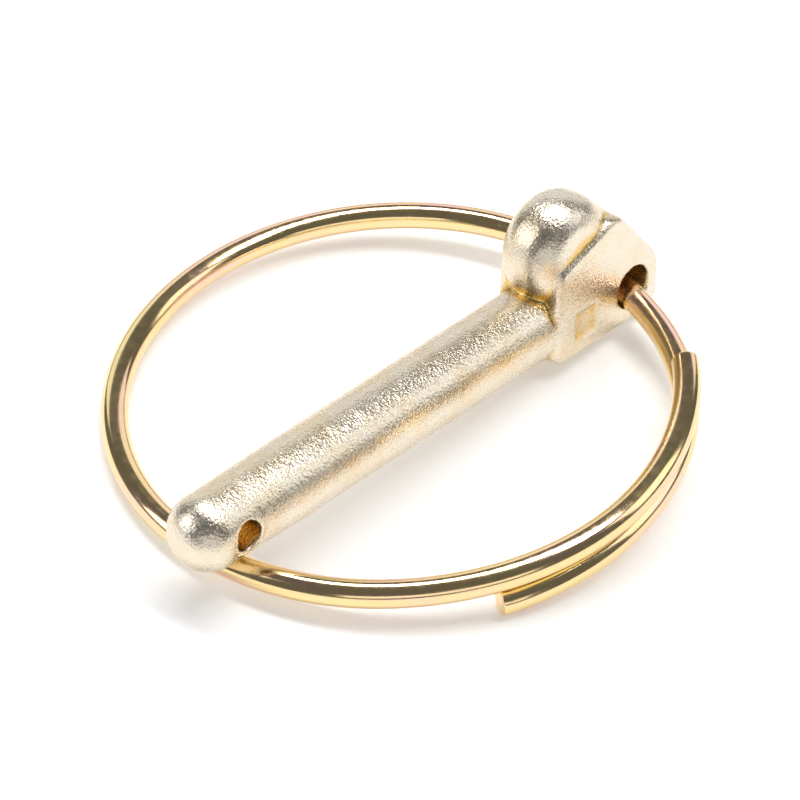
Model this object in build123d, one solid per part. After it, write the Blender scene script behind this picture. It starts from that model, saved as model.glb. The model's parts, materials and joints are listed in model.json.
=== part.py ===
from build123d import *
import math
import os

# A locking pin: a cast shank with a lug-shaped head, and a coiled wire ring that
# runs through the head. The ring swings on the head hole and lies under the tip.
# The assembly is built in the ring's frame (+Z along the coil's axis) and then
# turned and dropped onto the floor it rests on.

# ---------------------------------------------------------------- driving sizes, mm
shank_diameter = 10.0
tip_hole_diameter = 4.0
tip_hole_from_end = 7.0       # centre of the tip hole to the end of the dome
hole_spacing = 69.4           # tip hole to head hole, along the shank
dome_flat = 0.4               # small flat left at the end of the dome
shank_root = 1.5              # how far the shank runs into the head
nose_relief = 0.18            # the tip's radius under the grip's, where the ring closes
nose_run = 9.6                # length of the relieved tip
nose_step = 0.4               # the cone from it to the grip
flare_run = 1.6               # the grip swells over this length before the head
flare_rise = 0.09             # and by this much
grip_length = 60.6            # end of the dome to the head's front face

head_width = 10.2             # across the flat cheeks
head_edge_radius = 0.9        # rounding along the cheeks' edges
head_hole_diameter = 6.0
head_hole_rise = 0.3          # centre of the head hole above the shank's axis
lug_tail = 5.2                # head hole to the head's far end
lug_drop = 4.75               # head's flat underside below the shank's axis
lug_height = 12.0             # highest point of the cheeks above the shank's axis
brow_height = 8.8             # front of the cheeks' sloping top
tail_rise = 2.8               # cheeks' rear corner above the head hole
crest_lead = 3.2              # cheeks' highest corner ahead of the head hole
toe_radius = 2.2
heel_radius = 3.0
tail_radius = 4.5
crest_radius = 3.0
brow_radius = 1.5

knob_radius = 7.3             # thumb knob, an egg-shaped slab with a rounded rim
knob_height = 9.2             # its centre above the shank's axis
knob_setback = 6.1            # its centre behind the head's front face
knob_lead = 0.2               # knob's overhang ahead of the cheeks
knob_width = 9.0
knob_rim_radius = 3.9
knob_tail_radius = 4.2        # its smaller rear arc
knob_tail_run = 6.2           # rear arc's centre behind the front arc's
knob_tail_drop = 1.9          # and below it

mark_side = 4.2               # plain square sunk in the near cheek, left bare
mark_depth = 0.25
mark_setback = 9.35           # its centre ahead of the head hole's
mark_drop = 0.3               # and below the shank's axis

wire_diameter = 3.5
ring_slack = 0.6              # ring's mean diameter over the hole spacing
turn_gap = 0.1                # between the two layers of wire where they overlap
ring_start_angle = -4.0       # upper end of the wire, degrees round the coil
ring_end_angle = 431.0        # lower end of the wire
ring_tip_angle = 127.8        # where the wire crosses under the tip
ring_head_angle = 322.4       # where the wire passes through the head
wire_end_chamfer = 0.35
ring_spans = 5                # equal lengths that the helix is swept in

wire_seat = 0.38              # bowed wire's mid-point off the head hole's centre, tailwards
pin_roll = 4.0                # head hole's rise towards the near side, degrees
tip_clearance = 0.08          # shank over wire, where the tip lies on the ring

# ---------------------------------------------------------------- worked-out sizes
shank_radius = shank_diameter / 2
nose_radius = shank_radius - nose_relief
grip_start = nose_run + nose_step
grip_end = grip_length - flare_run
wire_radius = wire_diameter / 2
ring_radius = (hole_spacing + ring_slack) / 2
ring_pitch = wire_diameter + turn_gap
head_hole_x = tip_hole_from_end + hole_spacing
head_end_x = head_hole_x + lug_tail
half_head = head_width / 2


def on_coil(angle):
    """Centre of the wire at an angle in degrees; the coil sinks as the angle grows."""
    a = math.radians(angle)
    sink = ring_pitch * (angle / 360 - 0.5)
    return Vector(ring_radius * math.cos(a), -ring_radius * math.sin(a), -sink)


# ---------------------------------------------------------------- pin body
def make_shank():
    """Shaft with a domed and slightly slimmer tip, running just into the head."""
    length = grip_length + shank_root
    outline = Polyline(
        (0, 0),
        (0, nose_radius),
        (nose_run, nose_radius),
        (grip_start, shank_radius),
        (grip_end, shank_radius),
        (length, shank_radius + flare_rise),
        (length, 0),
        close=True,
    )
    rod = revolve(make_face(outline), axis=Axis.X)
    rim = rod.edges().sort_by(Axis.X)[0]
    return fillet(rim, nose_radius - dome_flat)


def make_lug():
    """Flat-cheeked lug behind the front face, with its tail rounded about the hole."""
    front = grip_length + knob_lead
    corners = (
        (front, -lug_drop, toe_radius),
        (head_end_x, -lug_drop, heel_radius),
        (head_end_x, head_hole_rise + tail_rise, tail_radius),
        (head_hole_x - crest_lead, lug_height + 0.9, crest_radius),
        (front + 1.2, brow_height, brow_radius),
    )
    points = [(x, z) for x, z, _ in corners]
    radii = [r for _, _, r in corners]
    outline = Plane.XZ * FilletPolyline(*points, radius=radii, close=True)
    lug = extrude(make_face(outline.edges()), half_head, both=True)
    cheeks = lug.faces().sort_by(Axis.Y)
    rims = cheeks[0].edges() + cheeks[-1].edges()
    lug = fillet(rims, head_edge_radius)
    mark = Box(mark_side, 2 * mark_depth, mark_side)
    return lug - Pos(head_hole_x - mark_setback, -half_head, -mark_drop) * mark


def make_knob():
    """Egg-shaped slab with a rounded rim, standing on the head's front."""
    tail = Pos(knob_tail_run, -knob_tail_drop) * Circle(knob_tail_radius)
    egg = make_hull(Circle(knob_radius).edges() + tail.edges())
    slab = extrude(Plane.XZ * egg, knob_width / 2, both=True)
    sides = slab.faces().sort_by(Axis.Y)
    slab = fillet(sides[0].edges() + sides[-1].edges(), knob_rim_radius)
    return Pos(grip_length + knob_setback, 0, knob_height) * slab


def make_pin_body():
    """The whole casting in its own frame: X from the tip's end, hole axes along Y."""
    body = make_shank() + make_lug() + make_knob()
    tip_bore = Cylinder(tip_hole_diameter / 2, 2 * shank_diameter, rotation=(90, 0, 0))
    head_bore = Cylinder(head_hole_diameter / 2, 3 * head_width, rotation=(90, 0, 0))
    body -= Pos(tip_hole_from_end, 0, 0) * tip_bore
    body -= Pos(head_hole_x, 0, head_hole_rise) * head_bore
    return body


# ---------------------------------------------------------------- wire ring
def make_ring():
    """Round wire swept up a shallow helix, from its lower end to its upper end."""
    turns = (ring_end_angle - ring_start_angle) / 360 / ring_spans
    path = Helix(ring_pitch, ring_pitch * turns, ring_radius)
    section = Plane(origin=path @ 0, z_dir=path % 0) * Circle(wire_radius)
    span = sweep(section, path=path, is_frenet=True)
    wire = span
    for n in range(1, ring_spans):
        wire += Pos(0, 0, ring_pitch * turns * n) * Rot(0, 0, 360 * turns * n) * span
    wire = chamfer(wire.faces().filter_by(GeomType.PLANE).edges(), wire_end_chamfer)
    return Pos(0, 0, on_coil(ring_end_angle).Z) * Rot(0, 0, -ring_end_angle) * wire


# ---------------------------------------------------------------- placing
def pin_in_ring():
    """Plane of the pin's own frame, seen from the ring: the axis runs from above the
    wire at the tip to the wire in the head hole, and the pin is rolled about it."""
    under_tip = on_coil(ring_tip_angle)
    in_head = on_coil(ring_head_angle)
    lift = nose_radius + wire_radius + tip_clearance
    for _ in range(5):
        axis = (in_head - under_tip - Vector(0, 0, lift)).normalized()
        lift = (nose_radius + wire_radius + tip_clearance) / math.sqrt(1 - axis.Z**2)
    roll = math.radians(pin_roll)
    level = Vector(0, 0, 1).cross(axis).normalized()
    upright = axis.cross(level)
    up = upright * math.cos(roll) + level * math.sin(roll)
    return Plane(origin=in_head - axis * (head_hole_x + wire_seat), x_dir=axis, z_dir=up)


def floor_in_ring(pin_plane):
    """Plane of the floor, seen from the ring. It touches the wire's lower end, the far
    side of the coil, and the lower rear edge of the head. Each touch is a ball about
    a point: the wire's own radius, or the rounding of the head's edge."""
    frame = pin_plane.location
    heel_x = head_end_x - heel_radius
    heel_y = half_head - head_edge_radius
    heel = (frame * Pos(heel_x, heel_y, head_edge_radius - lug_drop)).position
    end = on_coil(ring_end_angle)
    up = Vector(0, 0, 1)
    for _ in range(6):
        far_side = min((on_coil(a) for a in range(100, 260)), key=lambda p: p.dot(up))
        a = end - up * wire_radius
        b = heel - up * head_edge_radius
        c = far_side - up * wire_radius
        up = (b - a).cross(c - a).normalized()
    forward = pin_plane.x_dir - up * pin_plane.x_dir.dot(up)
    return Plane(origin=a, x_dir=forward, z_dir=up)


def place_all():
    """Both pieces in the row's frame, at rest, and the place of the pin's own frame."""
    pin_plane = pin_in_ring()
    floor = floor_in_ring(pin_plane).location.inverse()
    pin_place = floor * pin_plane.location
    pin = pin_place * make_pin_body()
    ring = floor * make_ring()
    box = Compound([pin, ring]).bounding_box()
    centre = Pos(-box.center().X, -box.center().Y, -box.min.Z)
    return centre * pin, centre * ring, centre * pin_place


if __name__ == "__main__":
    os.makedirs("parts", exist_ok=True)
    pin_body, wire_ring, pin_place = place_all()
    export_step(pin_body, "parts/pin_body.step")
    export_step(wire_ring, "parts/wire_ring.step")
    hole = pin_place * Pos(head_hole_x, 0, head_hole_rise)
    print("head hole's centre", hole.position, "and turn", hole.orientation)
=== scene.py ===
import json
import math

import bmesh
import bpy
import numpy as np
from bpy.props import FloatProperty, FloatVectorProperty, IntProperty, PointerProperty
from mathutils import Matrix, Vector


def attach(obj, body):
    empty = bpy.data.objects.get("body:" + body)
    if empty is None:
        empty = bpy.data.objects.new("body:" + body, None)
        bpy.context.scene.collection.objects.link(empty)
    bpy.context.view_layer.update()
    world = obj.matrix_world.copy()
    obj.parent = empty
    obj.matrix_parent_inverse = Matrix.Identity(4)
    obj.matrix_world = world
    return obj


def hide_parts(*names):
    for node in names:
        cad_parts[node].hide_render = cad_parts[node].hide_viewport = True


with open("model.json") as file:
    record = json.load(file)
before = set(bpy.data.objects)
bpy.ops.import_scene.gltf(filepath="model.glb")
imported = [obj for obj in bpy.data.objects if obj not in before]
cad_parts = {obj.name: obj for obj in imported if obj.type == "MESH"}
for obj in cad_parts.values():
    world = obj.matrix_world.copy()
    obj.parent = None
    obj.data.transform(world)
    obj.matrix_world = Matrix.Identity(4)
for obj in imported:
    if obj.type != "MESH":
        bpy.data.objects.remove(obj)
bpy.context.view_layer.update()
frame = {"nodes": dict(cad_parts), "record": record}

bl_info = {
    "name": "Wire Lock Pin",
    "version": (1, 0, 0),
    "blender": (4, 5, 0),
    "location": "View3D > Sidebar > Lock Pin",
    "description": "Cast locking pin with a swinging wire ring, and its plain studio",
    "category": "Object",
}

MM = 0.001

# how the pin lies on the ring
TIP_ANGLE = math.radians(127.8)  # where the wire passes under the tip, round the coil
HEAD_ANGLE = math.radians(322.4)  # where it passes through the head
PIN_ROLL = math.radians(4.0)
HOLE_SPACING = 69.4 * MM  # tip hole to head hole
WIRE_SEAT = 0.38 * MM  # the wire's centre past the head hole's
TIP_CLEARANCE = 0.08 * MM  # wire under the tip

# where the wire's sprung ends fall back to the true coil, and over what angle
UPPER_SPRING_END = math.radians(95.0)
UPPER_SPRING_RUN = math.radians(60.0)
LOWER_SPRING_START = math.radians(325.0)
LOWER_SPRING_RUN = math.radians(40.0)
LOWER_SPRING_SHARE = 0.85  # of the upper end's spring

# rounds of averaging, and the depth in millimetres that counts as a full crease, in the mask of
# the painted crease shade
CREASE_ROUNDS = 30
CREASE_SPREAD_ROUNDS = 10
FULL_CREASE = 0.06


# ------------------------------------------------------------------ the pin's own frame
def mount(name):
    """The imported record's mount of that name."""
    return next(m for m in frame["record"]["mounts"] if m["name"] == name)


def pin_frame(tip_hole_from_end):
    """4x4 matrix, metres: X from the tip's end to the head, Y away from the near cheek,
    Z up through the knob. Its origin is the end of the dome, on the shank's axis."""
    x = -np.array(mount("shank")["axis"], float)
    y = -np.array(mount("tip_hole")["axis"], float)
    out = np.eye(4)
    out[:3, 0] = x
    out[:3, 1] = y
    out[:3, 2] = np.cross(x, y)
    out[:3, 3] = np.array(mount("tip_hole")["pos_m"]) - x * tip_hole_from_end
    return out


# ------------------------------------------------------------------ sizes and colours
class PinSizes(bpy.types.PropertyGroup):
    """Finish and fine shape of the cast pin body."""

    tip_hole_from_end: FloatProperty(
        name="Tip hole from end",
        description="Centre of the tip hole to the end of the dome",
        default=7.0 * MM,
        unit="LENGTH",
        precision=5,
    )
    voxel: FloatProperty(
        name="Skin grid",
        description="Edge length of the quads that the casting's skin is rebuilt in",
        default=0.25 * MM,
        unit="LENGTH",
        precision=6,
    )
    softening: IntProperty(
        name="Softening",
        description="Rounds of averaging that take the crispness off the casting's edges",
        default=5,
        min=0,
    )
    nose_radius: FloatProperty(
        name="Nose radius",
        description="Radius of the slimmer tip",
        default=4.82 * MM,
        unit="LENGTH",
        precision=6,
    )
    nose_ease: FloatProperty(
        name="Nose ease",
        description="Length over which the tip swells to the full shank",
        default=12.0 * MM,
        unit="LENGTH",
        precision=5,
    )
    wave: FloatProperty(
        name="Wave",
        description="Height of the slow swell of the cast skin",
        default=0.045 * MM,
        unit="LENGTH",
        precision=6,
    )
    grain: FloatProperty(
        name="Grain",
        description="Height of the coarse grain of the cast skin",
        default=0.012 * MM,
        unit="LENGTH",
        precision=6,
    )
    plating: FloatVectorProperty(
        name="Plating",
        description="Pale zinc colour of the open faces",
        subtype="COLOR",
        default=(0.84, 0.76, 0.63),
    )
    # gold of the random cloudy tone, and of the shade and reflection painted into the creases
    tone_and_painted_shade: FloatVectorProperty(
        name="Tint",
        description="Yellow that gathers in the recesses",
        subtype="COLOR",
        default=(0.80, 0.55, 0.20),
    )


class RingSizes(bpy.types.PropertyGroup):
    """Sizes and colours of the coiled wire."""

    wire_diameter: FloatProperty(
        name="Wire", description="Wire diameter", default=3.5 * MM, unit="LENGTH", precision=5
    )
    mean_diameter: FloatProperty(
        name="Ring",
        description="Mean diameter of the coil",
        default=70.0 * MM,
        unit="LENGTH",
        precision=5,
    )
    pitch: FloatProperty(
        name="Pitch", description="Drop of the coil in one turn", default=3.6 * MM, unit="LENGTH"
    )
    start: FloatProperty(
        name="Start",
        description="Angle of the wire's upper end",
        default=math.radians(-1.0),
        subtype="ANGLE",
    )
    end: FloatProperty(
        name="End",
        description="Angle of the wire's lower end",
        default=math.radians(433.0),
        subtype="ANGLE",
    )
    spring_out: FloatProperty(
        name="Spring out",
        description="How far the upper end stands out from the true coil",
        default=0.90 * MM,
        unit="LENGTH",
        precision=6,
    )
    end_round: FloatProperty(
        name="End round",
        description="Rounding of the sheared wire ends",
        default=0.35 * MM,
        unit="LENGTH",
        precision=6,
    )
    plating: FloatVectorProperty(
        name="Plating",
        description="Bright yellow zinc colour of the wire",
        subtype="COLOR",
        default=(0.94, 0.70, 0.37),
    )


class StageSizes(bpy.types.PropertyGroup):
    """Camera and light."""

    lens: FloatProperty(
        name="Lens", description="Focal length on a 36 mm sensor", default=162.0, unit="CAMERA"
    )
    azimuth: FloatProperty(
        name="Azimuth",
        description="Camera's heading, turned from +Y towards +X",
        default=math.radians(48.40),
        subtype="ANGLE",
    )
    elevation: FloatProperty(
        name="Elevation",
        description="Camera's height above the horizon",
        default=math.radians(41.90),
        subtype="ANGLE",
    )
    roll: FloatProperty(
        name="Roll",
        description="Camera's turn about its own view line",
        default=math.radians(1.66),
        subtype="ANGLE",
    )
    camera_place: FloatVectorProperty(
        name="Camera",
        description="Camera's place",
        subtype="TRANSLATION",
        default=(-0.24721, -0.22107, 0.30148),
    )


# ------------------------------------------------------------------ mesh helpers
def mesh_object(name, points, quads, uv=None):
    """A smooth mesh object from arrays of points and of faces' corner numbers."""
    mesh = bpy.data.meshes.new(name)
    mesh.from_pydata(points.tolist(), [], quads)
    mesh.update()
    mesh.polygons.foreach_set("use_smooth", np.ones(len(mesh.polygons), bool))
    if uv is not None:
        loops = np.empty(len(mesh.loops), int)
        mesh.loops.foreach_get("vertex_index", loops)
        layer = mesh.uv_layers.new(name="along_and_round")
        layer.data.foreach_set("uv", uv[loops].ravel())
    obj = bpy.data.objects.new(name, mesh)
    bpy.context.scene.collection.objects.link(obj)
    return obj


def lattice_noise(points, cell, seed):
    """Value noise from -1 to 1: random numbers on a cubic lattice of that cell size,
    joined by a smooth step along each axis. All points at once."""
    table = np.random.RandomState(seed).uniform(-1.0, 1.0, (32, 32, 32))
    scaled = points / cell
    base = np.floor(scaled).astype(int)
    part = scaled - base
    part = part * part * (3.0 - 2.0 * part)
    total = np.zeros(len(points))
    for corner in np.ndindex(2, 2, 2):
        weight = np.prod(np.where(corner, part, 1.0 - part), axis=1)
        index = (base + corner) % 32
        total += weight * table[index[:, 0], index[:, 1], index[:, 2]]
    return total


def in_frame(points, matrix):
    """Points in a 4x4 frame's own coordinates."""
    return (points - matrix[:3, 3]) @ matrix[:3, :3]


# ------------------------------------------------------------------ pin body
def remeshed(source, voxel):
    """A copy of a CAD node as one even quad skin: its loose triangles are merged, and a
    voxel remesh rebuilds the surface, so that displacement has vertices to move."""
    copy = source.data.copy()
    work = bmesh.new()
    work.from_mesh(copy)
    bmesh.ops.remove_doubles(work, verts=work.verts, dist=1e-6)
    work.to_mesh(copy)
    work.free()
    obj = bpy.data.objects.new("skin_source", copy)
    bpy.context.scene.collection.objects.link(obj)
    remesh = obj.modifiers.new("even", "REMESH")
    remesh.mode = "VOXEL"
    remesh.voxel_size = voxel
    graph = bpy.context.evaluated_depsgraph_get()
    skin = bpy.data.meshes.new_from_object(obj.evaluated_get(graph))
    bpy.data.objects.remove(obj)
    return skin


def averaged(values, edges, rounds):
    """Values at the vertices, moved half-way to the mean of their neighbours each round."""
    count = np.bincount(edges.ravel(), minlength=len(values))[:, None]
    for _ in range(rounds):
        total = np.zeros_like(values)
        for axis in range(values.shape[1]):
            column = values[:, axis]
            total[:, axis] += np.bincount(edges[:, 0], column[edges[:, 1]], len(values))
            total[:, axis] += np.bincount(edges[:, 1], column[edges[:, 0]], len(values))
        values = 0.5 * values + 0.5 * total / count
    return values


def cast_relief(own):
    """Height in metres over the pin's own coordinates in millimetres: a slow swell of a
    poured skin, a coarse grain over it, each a sum of lattice noises."""
    sizes = bpy.context.scene.pin_sizes
    swell = lattice_noise(own, 5.0, 3) + 0.6 * lattice_noise(own, 2.1, 4)
    grain = lattice_noise(own, 0.9, 5) + 0.7 * lattice_noise(own, 0.5, 6)
    return sizes.wave * 0.6 * swell + sizes.grain * grain


def eased_nose(points, own_frame):
    """Points with the step behind the tip drawn out: the shank's radius may be no more than
    a smooth ramp from the nose's radius to the grip's, along the shank."""
    sizes = bpy.context.scene.pin_sizes
    own = in_frame(points, own_frame)
    grip_radius = mount("shank")["dims"]["r_mm"] * MM
    start = sizes.tip_hole_from_end
    part = np.clip((own[:, 0] - start) / sizes.nose_ease, 0.0, 1.0)
    part = part * part * (3.0 - 2.0 * part)
    limit = sizes.nose_radius + (grip_radius - sizes.nose_radius) * part
    limit = np.where(own[:, 0] > start + sizes.nose_ease, 1.0, limit)
    across = np.hypot(own[:, 1], own[:, 2])
    scale = np.minimum(1.0, limit / np.maximum(across, 1e-9))
    own[:, 1:] *= scale[:, None]
    return own @ own_frame[:3, :3].T + own_frame[:3, 3]


def build_pin_body():
    """The casting: the CAD body's skin rebuilt in even quads, its edges softened by
    averaging, then every vertex moved along its normal by the cast relief."""
    sizes = bpy.context.scene.pin_sizes
    mesh = remeshed(frame["nodes"]["pin_body"], sizes.voxel)
    count = len(mesh.vertices)
    points = np.empty(count * 3)
    mesh.vertices.foreach_get("co", points)
    points = points.reshape(-1, 3)
    edges = np.empty(len(mesh.edges) * 2, int)
    mesh.edges.foreach_get("vertices", edges)
    edges = edges.reshape(-1, 2)
    own_frame = pin_frame(sizes.tip_hole_from_end)
    soft = eased_nose(averaged(points, edges, sizes.softening), own_frame)
    mesh.vertices.foreach_set("co", soft.ravel())
    mesh.update()
    normals = np.empty(count * 3)
    mesh.vertices.foreach_get("normal", normals)
    normals = normals.reshape(-1, 3)
    own = in_frame(soft, own_frame) / MM
    moved = soft + normals * cast_relief(own)[:, None]
    mesh.vertices.foreach_set("co", moved.ravel())
    mesh.update()
    mesh.polygons.foreach_set("use_smooth", np.ones(len(mesh.polygons), bool))
    # mask of the creases, where the material paints gold shade and reflection into the colour
    crease_shade_mask = hollowness(moved, normals, edges)
    layer = mesh.attributes.new("crease_shade_mask", "FLOAT", "POINT")
    layer.data.foreach_set("value", crease_shade_mask)
    mesh.name = "cast_pin"
    obj = bpy.data.objects.new("cast_pin", mesh)
    bpy.context.scene.collection.objects.link(obj)
    mesh.materials.clear()
    mesh.materials.append(cast_zinc())
    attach(obj, "pin")
    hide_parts("pin_body")


def hollowness(points, normals, edges):
    """0 on flat and proud skin, rising to 1 in a crease: how far the averaged surface
    stands outside the vertex, along its normal."""
    mean = averaged(points, edges, CREASE_ROUNDS)
    depth = np.sum((mean - points) * normals, axis=1) / MM
    spread = averaged(depth[:, None], edges, CREASE_SPREAD_ROUNDS)[:, 0]
    return np.clip(spread / FULL_CREASE, 0.0, 1.0)


# ------------------------------------------------------------------ wire ring
def on_coil(angle, radius, pitch):
    """Point of the coil: round the axis by the angle, sinking one pitch a turn."""
    sink = pitch * (angle / math.tau - 0.5)
    return np.stack([radius * np.cos(angle), -radius * np.sin(angle), -sink], axis=-1)


def pin_on_ring(sizes):
    """4x4 matrix, metres: the pin's frame as the ring's frame sees it. The shank's axis
    runs from above the wire at the tip to the wire in the head hole."""
    pin = bpy.context.scene.pin_sizes
    reach = pin.nose_radius + sizes.wire_diameter / 2 + TIP_CLEARANCE
    radius = sizes.mean_diameter / 2
    under_tip = on_coil(TIP_ANGLE, radius, sizes.pitch)
    in_head = on_coil(HEAD_ANGLE, radius, sizes.pitch)
    lift = reach
    for _ in range(5):
        axis = in_head - under_tip - np.array([0.0, 0.0, lift])
        axis = axis / np.linalg.norm(axis)
        lift = reach / math.sqrt(1.0 - axis[2] ** 2)
    level = np.cross([0.0, 0.0, 1.0], axis)
    level = level / np.linalg.norm(level)
    upright = np.cross(axis, level)
    up = upright * math.cos(PIN_ROLL) + level * math.sin(PIN_ROLL)
    out = np.eye(4)
    out[:3, 0] = axis
    out[:3, 1] = np.cross(up, axis)
    out[:3, 2] = up
    out[:3, 3] = in_head - axis * (pin.tip_hole_from_end + HOLE_SPACING + WIRE_SEAT)
    return out


def wire_path(sizes, count):
    """Centre line of the wire: the coil, with its two ends sprung out a little by a smooth
    bump of the radius, and no lower than it rests on the surface."""
    angle = np.linspace(sizes.start, sizes.end, count)
    upper = np.clip((UPPER_SPRING_END - angle) / UPPER_SPRING_RUN, 0.0, 1.0)
    lower = np.clip((angle - LOWER_SPRING_START) / LOWER_SPRING_RUN, 0.0, 1.0)
    upper = upper * upper * (3.0 - 2.0 * upper)
    lower = lower * lower * (3.0 - 2.0 * lower)
    radius = sizes.mean_diameter / 2 + sizes.spring_out * (upper + LOWER_SPRING_SHARE * lower)
    own_frame = pin_frame(bpy.context.scene.pin_sizes.tip_hole_from_end)
    place = own_frame @ np.linalg.inv(pin_on_ring(sizes))
    points = on_coil(angle, radius, sizes.pitch) @ place[:3, :3].T + place[:3, 3]
    points[:, 2] = np.maximum(points[:, 2], sizes.wire_diameter / 2)
    return points


def with_ends(directions, keep, extra):
    """The kept directions, with the first and the last repeated for the closing rows."""
    first = np.tile(directions[0], (extra, 1))
    last = np.tile(directions[-1], (extra, 1))
    return np.concatenate([first, directions[keep], last])


def build_wire_ring():
    """The wire: a circle carried along the coil, a function of the length along the wire
    and the angle round it. Its ends close over a rounded edge to a flat pole."""
    sizes = bpy.context.scene.ring_sizes
    round_count = 48
    path_count = 1500
    centres = wire_path(sizes, path_count)
    step = np.gradient(centres, axis=0)
    along = step / np.linalg.norm(step, axis=1)[:, None]
    length = np.concatenate([[0.0], np.cumsum(np.linalg.norm(np.diff(centres, axis=0), axis=1))])
    side = np.cross(along, [0.0, 0.0, 1.0])
    side = side / np.linalg.norm(side, axis=1)[:, None]
    over = np.cross(side, along)
    radius = sizes.wire_diameter / 2
    edge = sizes.end_round
    turn = np.linspace(0.0, math.pi / 2, 9)
    cap_radius = radius - edge + edge * np.sin(turn)
    cap_back = edge * (1.0 - np.cos(turn))
    inner = np.array([0.25, 0.5, 0.75]) * (radius - edge)
    radii = np.concatenate([inner, cap_radius])
    back = np.concatenate([np.zeros(3), cap_back])
    keep = (length > edge * 1.5) & (length < length[-1] - edge * 1.5)
    ring_centres = np.concatenate(
        [
            centres[0] + along[0] * back[:, None],
            centres[keep],
            (centres[-1] - along[-1] * back[:, None])[::-1],
        ]
    )
    extra = len(radii)
    ring_radii = np.concatenate([radii, np.full(keep.sum(), radius), radii[::-1]])
    ring_side = with_ends(side, keep, extra)
    ring_over = with_ends(over, keep, extra)
    ring_length = np.concatenate([back, length[keep], (length[-1] - back)[::-1]])
    around = np.linspace(0.0, math.tau, round_count, endpoint=False)
    grid = (
        ring_centres[:, None, :]
        + ring_radii[:, None, None] * np.cos(around)[None, :, None] * ring_side[:, None, :]
        + ring_radii[:, None, None] * np.sin(around)[None, :, None] * ring_over[:, None, :]
    )
    rows = len(ring_centres)
    index = np.arange(rows * round_count).reshape(rows, round_count)
    after = np.roll(index, -1, axis=1)
    quads = np.stack([index[:-1], index[1:], after[1:], after[:-1]], axis=-1).reshape(-1, 4)
    first, last = rows * round_count, rows * round_count + 1
    fan_start = np.stack([index[0], after[0], np.full(round_count, first)], axis=-1)
    fan_end = np.stack([after[-1], index[-1], np.full(round_count, last)], axis=-1)
    points = np.concatenate([grid.reshape(-1, 3), centres[:1], centres[-1:]])
    uv = np.stack([np.repeat(ring_length, round_count), np.tile(around / math.tau, rows)], axis=-1)
    uv = np.concatenate([uv, [[0.0, 0.5], [ring_length[-1], 0.5]]])
    faces = quads.tolist() + fan_start.tolist() + fan_end.tolist()
    obj = mesh_object("spring_wire_ring", points, faces, uv)
    obj.data.materials.append(bright_wire())
    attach(obj, "ring")
    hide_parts("wire_ring")


# ------------------------------------------------------------------ materials
class Nodes:
    """A material's node tree, with short calls for its nodes and links."""

    def __init__(self, name):
        self.material = bpy.data.materials.new(name)
        self.material.use_nodes = True
        self.tree = self.material.node_tree
        self.shader = self.tree.nodes["Principled BSDF"]

    def add(self, kind, **values):
        node = self.tree.nodes.new(kind)
        for key, value in values.items():
            if key in node.inputs:
                node.inputs[key].default_value = value
            else:
                setattr(node, key, value)
        return node

    def link(self, source, socket, target, slot):
        self.tree.links.new(source.outputs[socket], target.inputs[slot])

    def noise(self, coords, scale, detail=2.0, rough=0.5, vector="Object"):
        node = self.add("ShaderNodeTexNoise")
        node.inputs["Scale"].default_value = scale
        node.inputs["Detail"].default_value = detail
        node.inputs["Roughness"].default_value = rough
        self.link(coords, vector, node, "Vector")
        return node

    def ramp(self, source, socket, stops):
        node = self.add("ShaderNodeValToRGB")
        ramp = node.color_ramp
        while len(ramp.elements) < len(stops):
            ramp.elements.new(0.5)
        for element, (place, colour) in zip(ramp.elements, stops):
            element.position = place
            element.color = (*colour, 1.0)
        self.link(source, socket, node, "Fac")
        return node

    def range(self, source, socket, low, high, to_low, to_high):
        node = self.add("ShaderNodeMapRange")
        node.inputs["From Min"].default_value = low
        node.inputs["From Max"].default_value = high
        node.inputs["To Min"].default_value = to_low
        node.inputs["To Max"].default_value = to_high
        self.link(source, socket, node, "Value")
        return node


def cast_zinc():
    """Pale yellow zinc over a cast skin: fine sparkling grain, a random cloudy gold tone, and gold
    painted into the hollows as shade and reflection.
    """
    sizes = bpy.context.scene.pin_sizes
    pale = tuple(sizes.plating)
    gold = tuple(sizes.tone_and_painted_shade)
    n = Nodes("cast_zinc")
    n.shader.inputs["Metallic"].default_value = 1.0
    coords = n.add("ShaderNodeTexCoord")
    cloud = n.noise(coords, 260.0, 3.0)
    cloud_mask = n.range(cloud, "Fac", 0.35, 0.75, 0.0, 0.35)
    # painted shade and reflection: the crease mask turns the colour gold in the creases, added to
    # the random cloudy tone
    crease_shade_mask = n.add("ShaderNodeAttribute", attribute_name="crease_shade_mask")
    tone_and_painted_shade = n.add("ShaderNodeMath", operation="ADD", use_clamp=True)
    n.link(cloud_mask, "Result", tone_and_painted_shade, 0)
    n.link(crease_shade_mask, "Fac", tone_and_painted_shade, 1)
    colour = n.ramp(tone_and_painted_shade, 0, [(0.0, pale), (1.0, gold)])
    n.link(colour, "Color", n.shader, "Base Color")
    grain = n.noise(coords, 3600.0, 3.0, 0.6)
    fleck = n.add("ShaderNodeTexVoronoi", feature="F1")
    fleck.inputs["Scale"].default_value = 2600.0
    n.link(coords, "Object", fleck, "Vector")
    rough = n.range(grain, "Fac", 0.3, 0.7, 0.18, 0.34)
    n.link(rough, "Result", n.shader, "Roughness")
    height = n.add("ShaderNodeMath", operation="MULTIPLY_ADD")
    n.link(fleck, "Distance", height, 0)
    height.inputs[1].default_value = 0.6
    n.link(grain, "Fac", height, 2)
    bump = n.add("ShaderNodeBump")
    bump.inputs["Strength"].default_value = 1.0
    bump.inputs["Distance"].default_value = 0.05 * MM
    n.link(height, 0, bump, "Height")
    n.link(bump, "Normal", n.shader, "Normal")
    return n.material


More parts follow.
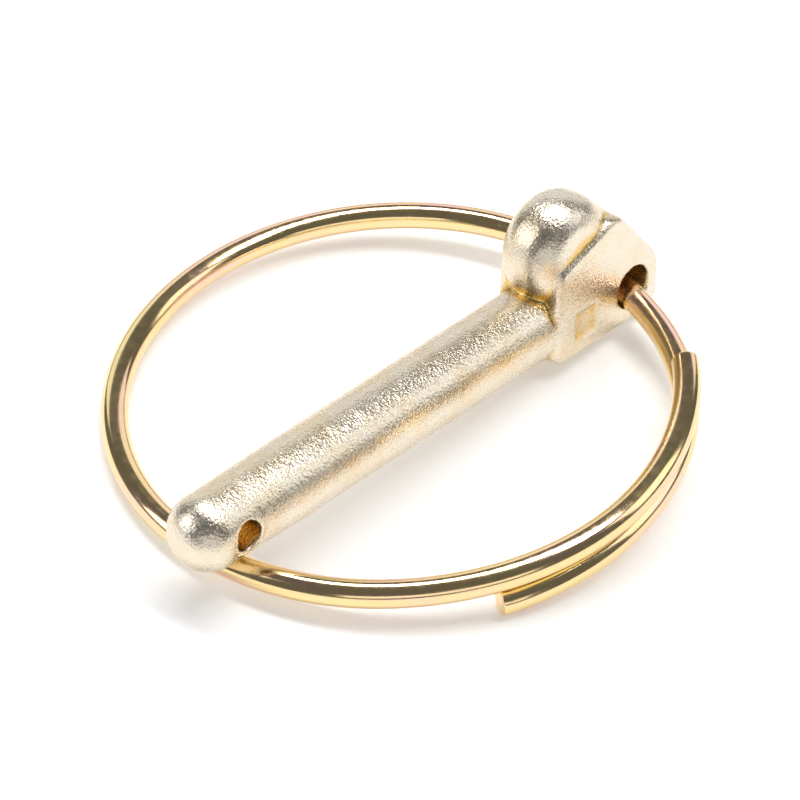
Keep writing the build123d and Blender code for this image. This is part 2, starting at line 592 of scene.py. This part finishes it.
def bright_wire():
    """Bright yellow zinc on drawn wire: draw lines along it, a faint drift of hue."""
    sizes = bpy.context.scene.ring_sizes
    r, g, b = sizes.plating
    n = Nodes("bright_wire")
    n.shader.inputs["Metallic"].default_value = 1.0
    coords = n.add("ShaderNodeTexCoord")
    stretch = n.add("ShaderNodeMapping")
    stretch.inputs["Scale"].default_value = (60.0, 5.0, 1.0)
    n.link(coords, "UV", stretch, "Vector")
    drift = n.noise(stretch, 1.0, 2.0, vector="Vector")
    stops = [
        (0.30, (r * 0.95, g * 1.03, b * 0.95)),
        (0.50, (r, g, b)),
        (0.70, (r, g * 0.88, b * 1.30)),
    ]
    colour = n.ramp(drift, "Fac", stops)
    n.link(colour, "Color", n.shader, "Base Color")
    lines_map = n.add("ShaderNodeMapping")
    lines_map.inputs["Scale"].default_value = (40.0, 90.0, 1.0)
    n.link(coords, "UV", lines_map, "Vector")
    lines = n.noise(lines_map, 1.0, 3.0, vector="Vector")
    scuff = n.noise(coords, 900.0, 3.0)
    rough = n.range(scuff, "Fac", 0.3, 0.8, 0.10, 0.20)
    n.link(rough, "Result", n.shader, "Roughness")
    bump = n.add("ShaderNodeBump")
    bump.inputs["Strength"].default_value = 0.25
    bump.inputs["Distance"].default_value = 0.02 * MM
    n.link(lines, "Fac", bump, "Height")
    n.link(bump, "Normal", n.shader, "Normal")
    return n.material


def pale_floor():
    """Matt white paper with a barely seen tooth."""
    n = Nodes("pale_floor")
    n.shader.inputs["Base Color"].default_value = (0.93, 0.93, 0.93, 1.0)
    n.shader.inputs["Roughness"].default_value = 0.9
    n.shader.inputs["Specular IOR Level"].default_value = 0.1
    n.shader.inputs["Emission Color"].default_value = (1.0, 1.0, 1.0, 1.0)
    n.shader.inputs["Emission Strength"].default_value = 0.25
    coords = n.add("ShaderNodeTexCoord")
    tooth = n.noise(coords, 700.0, 2.0)
    bump = n.add("ShaderNodeBump")
    bump.inputs["Strength"].default_value = 0.05
    bump.inputs["Distance"].default_value = 0.05 * MM
    n.link(tooth, "Fac", bump, "Height")
    n.link(bump, "Normal", n.shader, "Normal")
    return n.material


# ------------------------------------------------------------------ stage
def heading(azimuth, elevation):
    """Unit vector from the object towards a light at that heading and height, degrees.
    Heading 0 is the camera's side, and it grows to the camera's right."""
    stage = bpy.context.scene.stage_sizes
    turn = stage.azimuth - math.radians(azimuth)
    rise = math.radians(elevation)
    return Vector(
        (-math.sin(turn) * math.cos(rise), -math.cos(turn) * math.cos(rise), math.sin(rise))
    )


def soft_panel(name, azimuth, elevation, size, radiance, colour=(1.0, 1.0, 1.0), distance=0.8):
    """A rectangular light that faces the object; radiance is its brightness as seen."""
    data = bpy.data.lights.new(name, "AREA")
    data.shape = "RECTANGLE"
    data.size, data.size_y = size
    data.energy = radiance * math.pi * size[0] * size[1]
    data.color = colour
    light = bpy.data.objects.new(name, data)
    towards = heading(azimuth, elevation)
    light.location = towards * distance
    light.rotation_euler = towards.to_track_quat("Z", "Y").to_euler()
    bpy.context.scene.collection.objects.link(light)


def build_stage():
    """Pale floor, soft panels, plain world, and the camera."""
    scene = bpy.context.scene
    stage = scene.stage_sizes
    reach = 3.0
    count = 9
    line = np.linspace(-reach, reach, count)
    x, y = np.meshgrid(line, line, indexing="ij")
    points = np.stack([x, y, np.zeros_like(x)], axis=-1).reshape(-1, 3)
    index = np.arange(count * count).reshape(count, count)
    quads = np.stack([index[:-1, :-1], index[1:, :-1], index[1:, 1:], index[:-1, 1:]], axis=-1)
    floor = mesh_object("floor", points, quads.reshape(-1, 4).tolist())
    floor.data.materials.append(pale_floor())
    soft_panel("top_strip", 150.0, 76.0, (0.9, 0.18), 10.0)
    soft_panel("front_panel", 10.0, 18.0, (0.9, 0.22), 1.05)
    soft_panel("back_panel", 180.0, 22.0, (1.5, 0.40), 0.9)
    soft_panel("left_panel", -80.0, 30.0, (0.5, 0.5), 2.4)
    soft_panel("right_panel", 95.0, 30.0, (0.4, 0.5), 1.3)
    world = bpy.data.worlds.new("studio")
    world.use_nodes = True
    background = world.node_tree.nodes["Background"]
    background.inputs["Color"].default_value = (0.90, 0.92, 0.95, 1.0)
    background.inputs["Strength"].default_value = 0.14
    scene.world = world
    scene.view_settings.view_transform = "Standard"
    camera_data = bpy.data.cameras.new("camera")
    camera_data.lens = stage.lens
    camera_data.sensor_width = 36.0
    camera_data.clip_start = 0.01
    camera = bpy.data.objects.new("camera", camera_data)
    forward = -heading(0.0, math.degrees(stage.elevation))
    look = forward.to_track_quat("-Z", "Y").to_matrix().to_4x4()
    spin = Matrix.Rotation(stage.roll, 4, "Z")
    camera.matrix_world = Matrix.Translation(stage.camera_place) @ look @ spin
    scene.collection.objects.link(camera)
    scene.camera = camera


# ------------------------------------------------------------------ operators and panel
class MakePinBody(bpy.types.Operator):
    """Make the cast pin body"""

    bl_idname = "lock_pin.make_pin_body"
    bl_label = "Make Pin Body"

    def execute(self, context):
        build_pin_body()
        return {"FINISHED"}


class MakeWireRing(bpy.types.Operator):
    """Make the coiled wire ring"""

    bl_idname = "lock_pin.make_wire_ring"
    bl_label = "Make Wire Ring"

    def execute(self, context):
        build_wire_ring()
        return {"FINISHED"}


class MakeStage(bpy.types.Operator):
    """Make the floor, the lights and the camera"""

    bl_idname = "lock_pin.make_stage"
    bl_label = "Make Stage"

    def execute(self, context):
        build_stage()
        return {"FINISHED"}


class LockPinPanel(bpy.types.Panel):
    """The lock pin's sizes and operators"""

    bl_idname = "VIEW3D_PT_lock_pin"
    bl_label = "Lock Pin"
    bl_space_type = "VIEW_3D"
    bl_region_type = "UI"
    bl_category = "Lock Pin"

    def draw(self, context):
        scene = context.scene
        for group, operator in (
            (scene.pin_sizes, MakePinBody),
            (scene.ring_sizes, MakeWireRing),
            (scene.stage_sizes, MakeStage),
        ):
            box = self.layout.box()
            for name in group.__annotations__:
                box.prop(group, name)
            box.operator(operator.bl_idname)


CLASSES = (PinSizes, RingSizes, StageSizes, MakePinBody, MakeWireRing, MakeStage, LockPinPanel)


def register():
    for cls in CLASSES:
        bpy.utils.register_class(cls)
    bpy.types.Scene.pin_sizes = PointerProperty(type=PinSizes)
    bpy.types.Scene.ring_sizes = PointerProperty(type=RingSizes)
    bpy.types.Scene.stage_sizes = PointerProperty(type=StageSizes)


def unregister():
    del bpy.types.Scene.stage_sizes
    del bpy.types.Scene.ring_sizes
    del bpy.types.Scene.pin_sizes
    for cls in reversed(CLASSES):
        bpy.utils.unregister_class(cls)


def main():
    register()
    bpy.ops.lock_pin.make_stage()
    bpy.ops.lock_pin.make_pin_body()
    bpy.ops.lock_pin.make_wire_ring()


if __name__ == "__main__":
    main()
